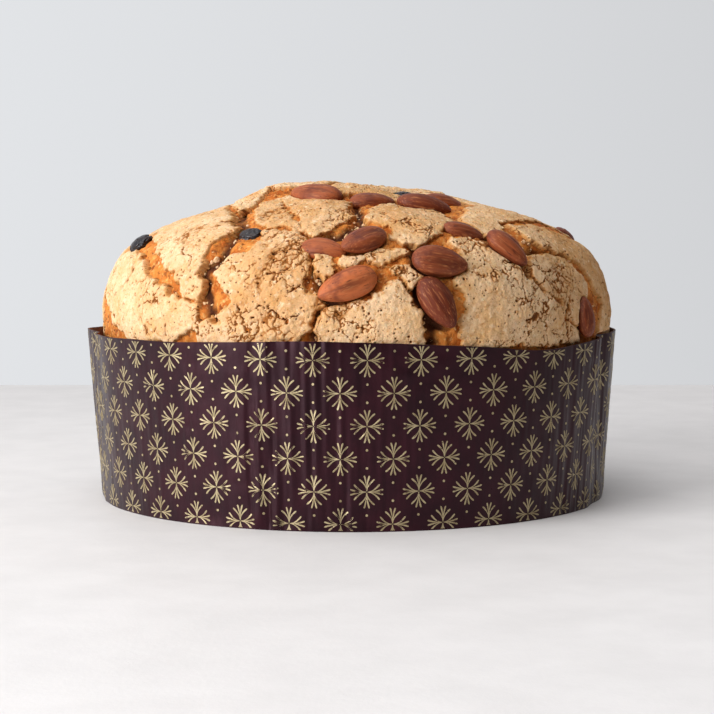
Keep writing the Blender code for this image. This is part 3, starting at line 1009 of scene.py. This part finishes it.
def add(tree, kind, settings=None, links=None):
    """Adds a node with its settings and links. Inputs go by name, or by number where names repeat."""
    made = tree.nodes.new("ShaderNode" + kind)
    for key, value in (settings or {}).items():
        if isinstance(key, str) and hasattr(made, key):
            setattr(made, key, value)
        else:
            made.inputs[key].default_value = value
    for key, source in (links or {}).items():
        tree.links.new(source, made.inputs[key])
    return made


def tint(tree, tone, colour, mask, low, high):
    """Turns a tone to another colour as a mask rises from low to high."""
    share = add(tree, "MapRange", {"From Min": low, "From Max": high}, {"Value": mask})
    settings = {"data_type": "RGBA", 7: linear(colour)}
    return add(tree, "Mix", settings, {6: tone, 0: share.outputs["Result"]}).outputs[2]


class Finish:
    """A material whose tone is laid on in layers, with its places on the piece and its shader."""

    def __init__(self, name, colour, values, reads=()):
        self.material = bpy.data.materials.new(name)
        self.material.use_nodes = True
        self.tree = self.material.node_tree
        self.shader = self.tree.nodes["Principled BSDF"]
        for key, value in values.items():
            self.shader.inputs[key].default_value = value
        # One node for each thing that it reads from the mesh
        self.reads = [add(self.tree, "Attribute", {"attribute_name": kept}) for kept in reads]
        self.place = add(self.tree, "TexCoord").outputs["Object"]
        first = add(self.tree, "RGB")
        first.outputs[0].default_value = linear(colour)
        self.lay(first.outputs[0])

    def lay(self, tone):
        self.tone = tone
        self.tree.links.new(tone, self.shader.inputs["Base Color"])

    def tint(self, colour, mask, low, high):
        self.lay(tint(self.tree, self.tone, colour, mask, low, high))

    def mottle(self, colour, size, low, high, place=None, detail=3.0):
        """Patches of another colour, about `size` apart."""
        settings = {"Scale": 1 / size, "Detail": detail, "Roughness": 0.6}
        where = self.place if place is None else place
        cloud = add(self.tree, "TexNoise", settings, {"Vector": where})
        self.tint(colour, cloud.outputs["Fac"], low, high)

    def specks(self, colour, spacing, radius, share):
        """Round specks, one to a cell of the spacing, in a share of the cells."""
        cell = add(self.tree, "TexVoronoi", {"Scale": 1 / spacing}, {"Vector": self.place})
        limits = {"From Min": share, "From Max": share - 0.02}
        chosen = add(self.tree, "MapRange", limits, {"Value": cell.outputs["Color"]})
        limits = {"From Min": radius / spacing, "From Max": 0.6 * radius / spacing, "To Max": 0.85}
        inside = add(self.tree, "MapRange", limits, {"Value": cell.outputs["Distance"]})
        masks = {0: chosen.outputs["Result"], 1: inside.outputs["Result"]}
        both = add(self.tree, "Math", {"operation": "MULTIPLY"}, masks)
        self.tint(colour, both.outputs[0], 0, 1)

    def vary_roughness(self, mask, low, high):
        rough = add(self.tree, "MapRange", {"To Min": low, "To Max": high}, {"Value": mask})
        self.tree.links.new(rough.outputs["Result"], self.shader.inputs["Roughness"])

    def roughen(self, *layers):
        """Fine relief from layers of size and depth in millimetres, at the piece's places or others."""
        normal = {}
        for size, depth, *others in layers:
            place = others[0] if others else self.place
            settings = {"Scale": 1 / (size * MM), "Detail": 3.0, "Roughness": 0.65}
            cloud = add(self.tree, "TexNoise", settings, {"Vector": place})
            settings = {"Strength": 1.0, "Distance": depth * MM}
            bump = add(self.tree, "Bump", settings, {"Height": cloud.outputs["Fac"], **normal})
            normal = {"Normal": bump.outputs["Normal"]}
        self.tree.links.new(normal["Normal"], self.shader.inputs["Normal"])


def baked_almond_glaze():
    """Ground-almond and egg-white glaze, baked dry: matt pale tan, freckled, brown in its pits, and near
    black-brown deeper in them as painted shade.
    """
    values = {"Roughness": 0.85, "IOR": 1.45, "Specular IOR Level": 0.2}
    values.update({"Subsurface Weight": 0.08, "Subsurface Scale": 1 * MM})
    glaze = Finish("baked_almond_glaze", "#EFCA9F", values, ("pit_tone_and_shade", "broken", "browned"))
    pit_tone_and_shade, broken, browned = (node.outputs["Fac"] for node in glaze.reads)
    glaze.mottle("#DFAE76", 11 * MM, 0.38, 0.7)
    glaze.tint("#CE9250", browned, 0.1, 1.5)
    glaze.mottle("#F6DCB6", 2.6 * MM, 0.55, 0.78)
    glaze.mottle("#CB9054", 1.6 * MM, 0.55, 0.72)
    glaze.mottle("#A66B39", 0.7 * MM, 0.62, 0.74)
    glaze.tint("#CC8F4A", broken, 0.15, 1.2)
    # Browner in the cracks, pores and seams, then near black-brown further down them as painted shade
    glaze.tint("#B06F34", pit_tone_and_shade, 0.15, 0.55)
    glaze.tint("#4A240E", pit_tone_and_shade, 0.5, 0.9)
    glaze.specks("#52290F", 2.5 * MM, 0.45 * MM, 0.47)
    glaze.specks("#6E4220", 1.4 * MM, 0.26 * MM, 0.44)
    glaze.roughen((1.0, 0.5), (0.4, 0.15))
    return glaze.material


def browned_dough():
    """Enriched dough browned where the glaze tore: amber, with painted shade making it nearly black-brown
    deep in the splits and in the hollows round the toppings.
    """
    values = {"Roughness": 0.65, "IOR": 1.45, "Specular IOR Level": 0.2}
    values.update({"Subsurface Weight": 0.1, "Subsurface Scale": 2 * MM})
    dough = Finish("browned_dough", "#E08C3E", values, ("deep",))
    dough.mottle("#B8601F", 7 * MM, 0.4, 0.64)
    dough.mottle("#EDB46C", 2.0 * MM, 0.54, 0.72)
    dough.mottle("#7A3E1A", 2.4 * MM, 0.54, 0.68, detail=4.0)
    # Painted shade: near black-brown deep in the splits and in the hollows round the toppings
    dough.tint("#4E260F", dough.reads[0].outputs["Fac"], 0.35, 0.95)
    dough.roughen((1.4, 0.9), (0.5, 0.2))
    return dough.material


def toasted_almond_skin():
    """Almond skin, toasted: red-brown papery skin with pale streaks along it, darkened in the grooves between
    its fine ridges as painted shade, with a low sheen.
    """
    values = {"Roughness": 0.5, "IOR": 1.45, "Specular IOR Level": 0.3}
    skin = Finish("toasted_almond_skin", "#C86C3C", values, ("grain", "groove", "toast"))
    grain, groove, toast = skin.reads
    grain = grain.outputs["Vector"]
    skin.tint("#672A16", toast.outputs["Fac"], 0, 1)
    # Painted shade: dark red-brown down in the grooves
    skin.tint("#4A1A0F", groove.outputs["Fac"], 0.5, -0.1)
    skin.mottle("#BC7648", 0.6 * MM, 0.54, 0.8, grain, 2.0)
    skin.mottle("#43170F", 0.55 * MM, 0.58, 0.8, grain, 2.0)
    skin.mottle("#5A241A", 7 * MM, 0.52, 0.8)
    skin.roughen((0.8, 0.18, grain), (0.5, 0.05))
    return skin.material


def raisin_skin():
    """Raisin skin: blue-black, oily on its ridges and dull in its folds."""
    skin = Finish("raisin_skin", "#14121A", {"Roughness": 0.32}, ("fold",))
    skin.mottle("#2A1A18", 3 * MM, 0.4, 0.65)
    skin.vary_roughness(skin.reads[0].outputs["Fac"], 0.25, 0.6)
    skin.roughen((0.7, 0.1))
    return skin.material


def coated_baking_paper():
    """Baking paper printed dark aubergine and lacquered: a satin sheen that the flutes break up."""
    values = {"Roughness": 0.28, "Specular IOR Level": 0.4, "Specular Tint": linear("#DDB2C0")}
    paper = Finish("coated_baking_paper", "#1A060C", values)
    paper.mottle("#290B13", 14 * MM, 0.35, 0.65)
    paper.mottle("#32181C", 0.7 * MM, 0.62, 0.8)
    settings = {"Scale": 1 / (5 * MM), "Detail": 3.0}
    cloud = add(paper.tree, "TexNoise", settings, {"Vector": paper.place})
    paper.vary_roughness(cloud.outputs["Fac"], 0.22, 0.44)
    paper.roughen((0.9, 0.02))
    return paper.material


def baked_paper_inside():
    """The case's unprinted inside: brown baking paper stained by butter."""
    paper = Finish("baked_paper_inside", "#7A3F22", {"Roughness": 0.6})
    paper.mottle("#4E2414", 6 * MM, 0.35, 0.65)
    paper.roughen((1.2, 0.04))
    return paper.material


def cut_paper_edge():
    """The cut edge of dark paper: torn brown fibre."""
    fibre = Finish("cut_paper_edge", "#5A3528", {"Roughness": 0.7})
    fibre.mottle("#2E1A18", 2 * MM, 0.4, 0.6)
    return fibre.material


def gold_ink():
    """Gold printing ink on lacquered paper: pale bronze flake, worn thin in places."""
    ink = Finish("gold_ink", "#B8A883", {"Roughness": 0.42, "Metallic": 0.5})
    ink.mottle("#A08E6A", 4 * MM, 0.4, 0.65)
    ink.mottle("#5A463A", 0.9 * MM, 0.58, 0.7)
    return ink.material


def pale_table():
    """The studio's table: pale painted board with a faint unevenness."""
    board = Finish("pale_table", "#ECE9E8", {"Roughness": 0.6})
    board.mottle("#E6E3E2", 30 * MM, 0.35, 0.65)
    board.roughen((2.5, 0.08))
    return board.material


# Stage, light and camera

def make_stage():
    deselect()
    bpy.ops.mesh.primitive_plane_add(size=0.916)
    table = bpy.context.object
    table.name = "table_top"
    table.data.materials.append(pale_table())
    # The room is lighter towards the window and darker away from it
    world = bpy.data.worlds.new("pale_room")
    world.use_nodes = True
    tree = world.node_tree
    aim = add(tree, "TexCoord").outputs["Generated"]
    settings = {"operation": "DOT_PRODUCT", 1: (-0.8, 0.6, 0)}
    window = add(tree, "VectorMath", settings, {0: aim})
    dark = add(tree, "RGB")
    dark.outputs[0].default_value = linear("#59524E")
    light = tint(tree, dark.outputs[0], "#E3E5E8", window.outputs["Value"], -0.9, 0.75)
    tree.links.new(light, tree.nodes["Background"].inputs["Color"])
    bpy.context.scene.world = world


def soft_lamp(name, place, aim, size, power):
    data = bpy.data.lights.new(name, "AREA")
    data.shape = "SQUARE"
    data.size = size
    data.energy = power
    lamp = placed(name, data)
    lamp.location = place
    lamp.rotation_euler = (Vector(aim) - Vector(place)).to_track_quat("-Z", "Y").to_euler()


def make_camera():
    data = bpy.data.cameras.new("camera")
    data.lens = 100
    data.sensor_width = 36
    camera = placed("camera", data)
    camera.location = CAMERA_PLACE
    camera.rotation_euler = (math.radians(90 - CAMERA_DIP), 0, 0)
    bpy.context.scene.camera = camera


def main():
    bpy.context.scene.view_settings.view_transform = "Standard"
    make_camera()
    make_stage()
    soft_lamp("window", place=(-1.05, -0.84, 0.44), aim=(0, 0, 0.08), size=0.9, power=19)
    soft_lamp("ceiling", place=(-0.3, -0.35, 1.4), aim=(0, 0, 0), size=1.2, power=8.5)
    glaze = baked_almond_glaze()
    make_dough(browned_dough())
    make_glaze(glaze)
    make_crumbs(glaze)
    almond_skin = toasted_almond_skin()
    raisin = raisin_skin()
    for seed, topping in enumerate(toppings):
        if topping.node.startswith("almond"):
            make_almond(topping, almond_skin, seed)
        else:
            make_raisin(topping, raisin, seed)
    make_case(coated_baking_paper(), baked_paper_inside(), cut_paper_edge())
    make_print(gold_ink())


main()
